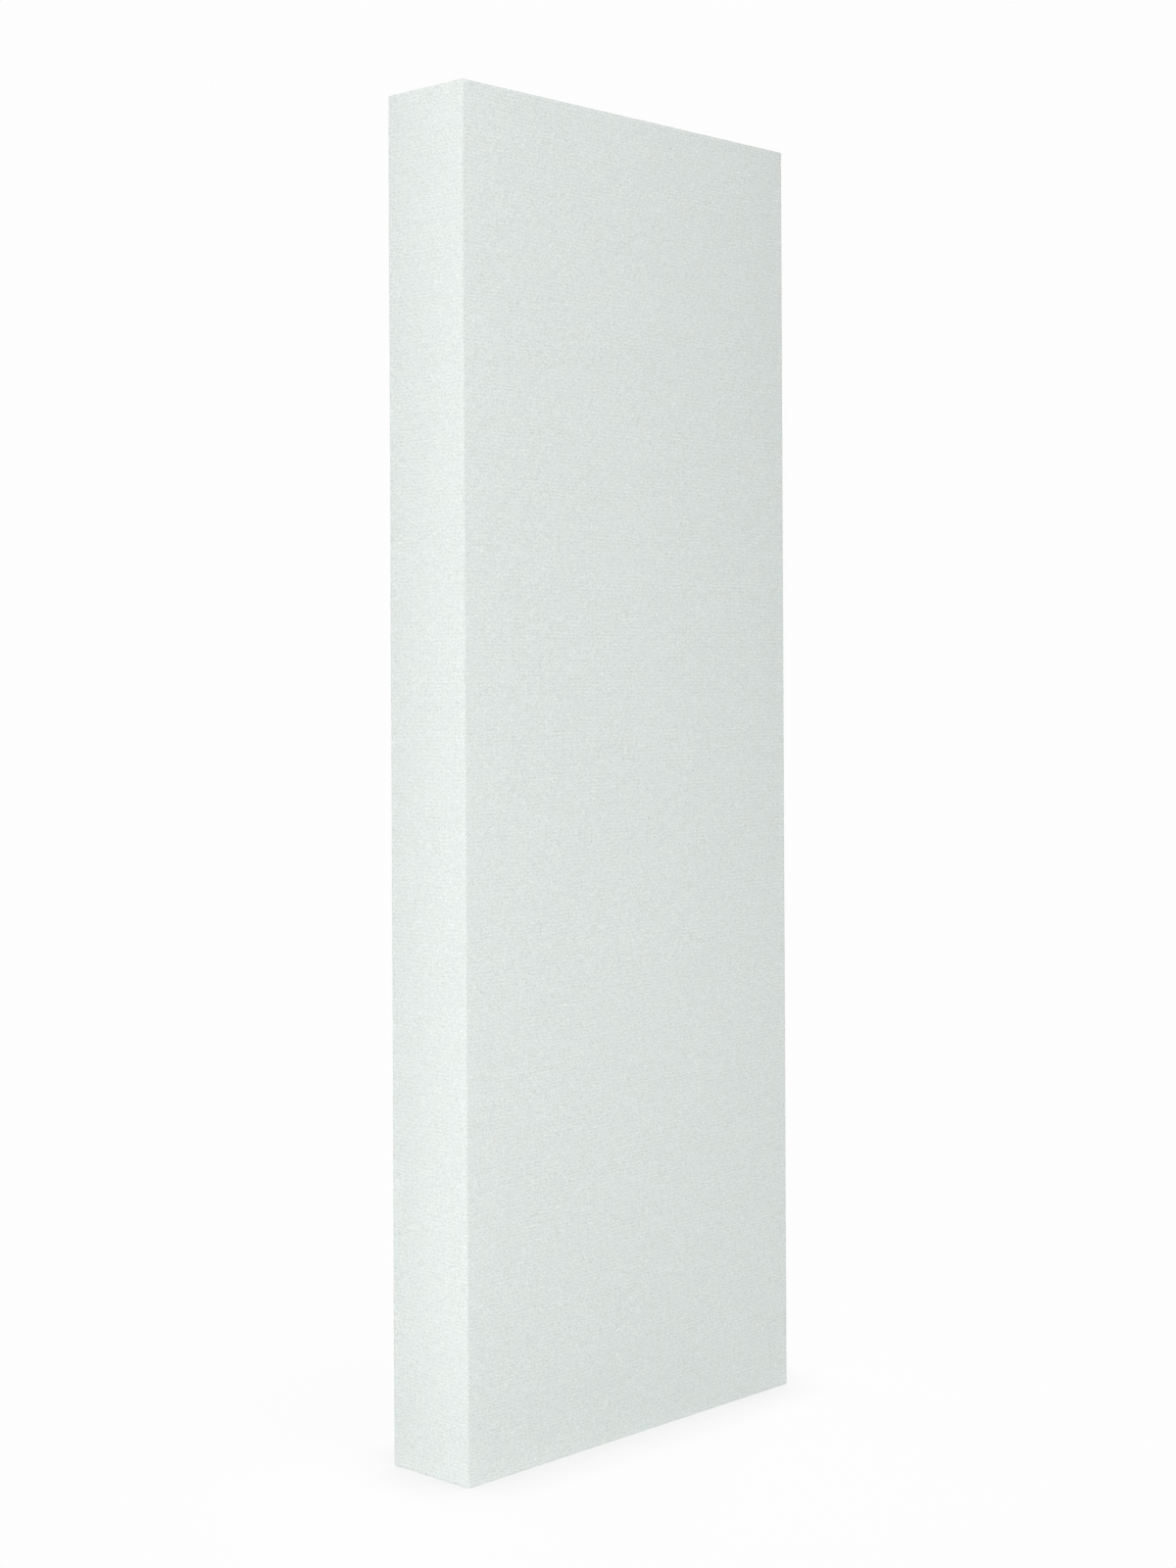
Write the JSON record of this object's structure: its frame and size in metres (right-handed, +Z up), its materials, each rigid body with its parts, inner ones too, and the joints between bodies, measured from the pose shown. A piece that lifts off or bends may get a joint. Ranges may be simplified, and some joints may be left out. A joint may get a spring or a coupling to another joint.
{
  "type": "acoustic panel",
  "caption": "Tall broadband acoustic panel: fibre slabs in a finger-jointed board frame wrapped in pale woven cloth, with a dust cover, hanging rings and rubber bumpers on the back.",
  "frame": {"origin": "middle of the bounding box's base: the middle of the bottom edge, halfway between the front cloth and the back of the bumpers", "axes": "+Z up along the panel's height, +X to the right as seen from the front, the front cloth faces -Y and the rings and bumpers are on the +Y side"},
  "size_m": [0.428, 0.1012, 1.2],
  "materials": {
    "pale_cloth": "matt, finely woven",
    "black_fleece": "matt, non-woven",
    "glass_tissue": "matt, non-woven",
    "mineral_wool": "matt, fibrous",
    "birch_board": "planed, unfinished",
    "zinc_steel": "bright zinc plated",
    "black_rubber": "matt"
  },
  "bodies": {
    "panel": {"cloth_wrap": "pale_cloth", "dust_cover": "black_fleece", "fibre_veil": "glass_tissue", "front_wool_slab": "mineral_wool", "back_wool_slab": "mineral_wool", "left_stile": "birch_board", "right_stile": "birch_board", "top_rail": "birch_board", "bottom_rail": "birch_board", "hanging_rail": "birch_board", "middle_brace": "birch_board", "lower_brace": "birch_board", "upper_left_gusset": "birch_board", "upper_right_gusset": "birch_board", "lower_left_gusset": "birch_board", "lower_right_gusset": "birch_board", "hanging_rail_screw_upper_left": "zinc_steel", "hanging_rail_screw_upper_right": "zinc_steel", "hanging_rail_screw_lower_left": "zinc_steel", "hanging_rail_screw_lower_right": "zinc_steel", "middle_brace_screw_upper_left": "zinc_steel", "middle_brace_screw_upper_right": "zinc_steel", "middle_brace_screw_lower_left": "zinc_steel", "middle_brace_screw_lower_right": "zinc_steel", "lower_brace_screw_upper_left": "zinc_steel", "lower_brace_screw_upper_right": "zinc_steel", "lower_brace_screw_lower_left": "zinc_steel", "lower_brace_screw_lower_right": "zinc_steel", "left_hanger_strap": "zinc_steel", "right_hanger_strap": "zinc_steel", "left_strap_screw_1": "zinc_steel", "left_strap_screw_2": "zinc_steel", "right_strap_screw_1": "zinc_steel", "right_strap_screw_2": "zinc_steel", "upper_left_bumper": "black_rubber", "upper_right_bumper": "black_rubber", "lower_left_bumper": "black_rubber", "lower_right_bumper": "black_rubber", "upper_left_bumper_screw": "zinc_steel", "upper_right_bumper_screw": "zinc_steel", "lower_left_bumper_screw": "zinc_steel", "lower_right_bumper_screw": "zinc_steel"},
    "left_ring": {"left_hanger_ring": "zinc_steel"},
    "right_ring": {"right_hanger_ring": "zinc_steel"}
  },
  "joints": [
    {"name": "left_ring_hinge", "type": "hinge", "parent": "panel", "child": "left_ring", "pos_m": [-0.12, 0.04615, 1.07173], "axis": [1, 0, 0], "range_deg": [0, 180]},
    {"name": "right_ring_hinge", "type": "hinge", "parent": "panel", "child": "right_ring", "pos_m": [0.12, 0.04615, 1.07173], "axis": [1, 0, 0], "range_deg": [0, 180]}
  ]
}
